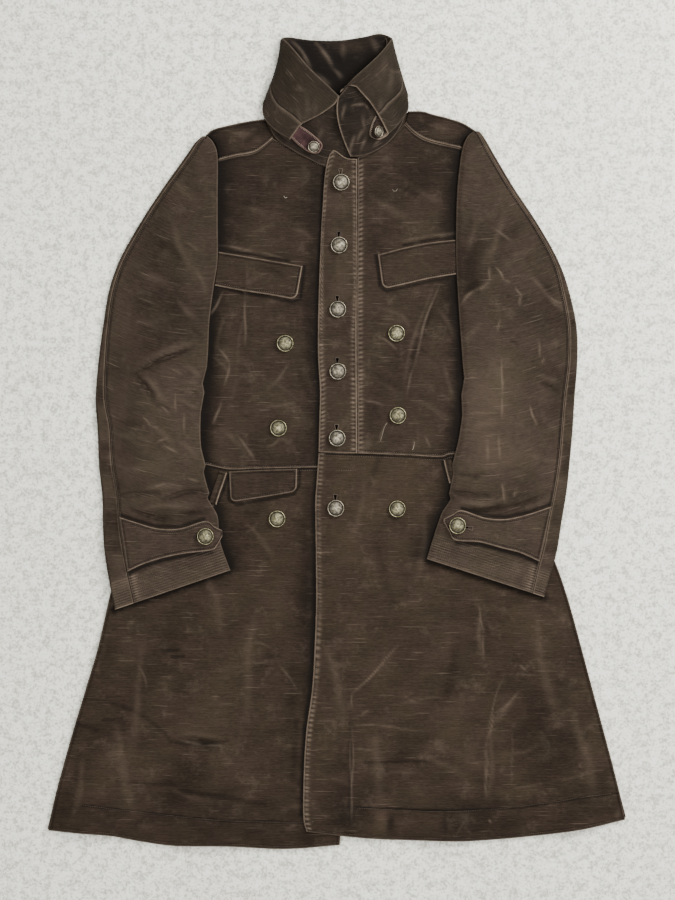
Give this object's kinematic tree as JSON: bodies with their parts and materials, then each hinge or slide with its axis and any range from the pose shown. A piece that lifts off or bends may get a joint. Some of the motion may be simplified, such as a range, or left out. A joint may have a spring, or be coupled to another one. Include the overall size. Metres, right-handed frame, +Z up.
{
  "type": "double-breasted coat",
  "caption": "Long brown coat laid flat on its back, with a high collar opened in a V, a buttoned placket, side buttons, flaps, cuff tabs and a flared skirt.",
  "frame": {"origin": "centre of the coat's box on the surface that it lies on", "axes": "+X to the wearer's left, +Y towards the collar, +Z up off the surface"},
  "size_m": [0.867, 1.2201, 0.0293],
  "materials": {
    "body_cloth": "waxed cotton moleskin, matt, dusty",
    "sleeve_cloth": "waxed cotton moleskin, worn lighter",
    "collar_cloth": "dark creased waxed cotton",
    "trim_cloth": "waxed cotton with worn edges",
    "strap_leather": "thin matt leather",
    "pewter": "dull cast pewter",
    "old_brass": "dulled cast brass"
  },
  "bodies": {
    "root": {"back_bodice": "body_cloth", "back_skirt": "body_cloth", "centre_button_1": "pewter", "centre_button_2": "pewter", "centre_button_3": "pewter", "centre_button_4": "pewter", "centre_button_5": "pewter", "centre_button_6": "pewter", "collar_fall": "trim_cloth", "collar_stand": "collar_cloth", "front_placket": "body_cloth", "left_chest_flap": "trim_cloth", "left_collar_strap": "strap_leather", "left_cuff_button": "old_brass", "left_cuff_tab": "trim_cloth", "left_front_bodice": "body_cloth", "left_front_skirt": "body_cloth", "left_pocket_welt": "trim_cloth", "left_side_button_1": "old_brass", "left_side_button_2": "old_brass", "left_side_button_3": "old_brass", "left_strap_button": "old_brass", "left_under_sleeve": "sleeve_cloth", "left_upper_sleeve": "sleeve_cloth", "left_yoke": "body_cloth", "right_chest_flap": "trim_cloth", "right_collar_strap": "strap_leather", "right_cuff_button": "old_brass", "right_cuff_tab": "trim_cloth", "right_front_bodice": "body_cloth", "right_front_skirt": "body_cloth", "right_hip_flap": "trim_cloth", "right_pocket_welt": "trim_cloth", "right_side_button_1": "old_brass", "right_side_button_2": "old_brass", "right_side_button_3": "old_brass", "right_strap_button": "old_brass", "right_under_sleeve": "sleeve_cloth", "right_upper_sleeve": "sleeve_cloth", "right_yoke": "body_cloth"}
  },
  "joints": []
}
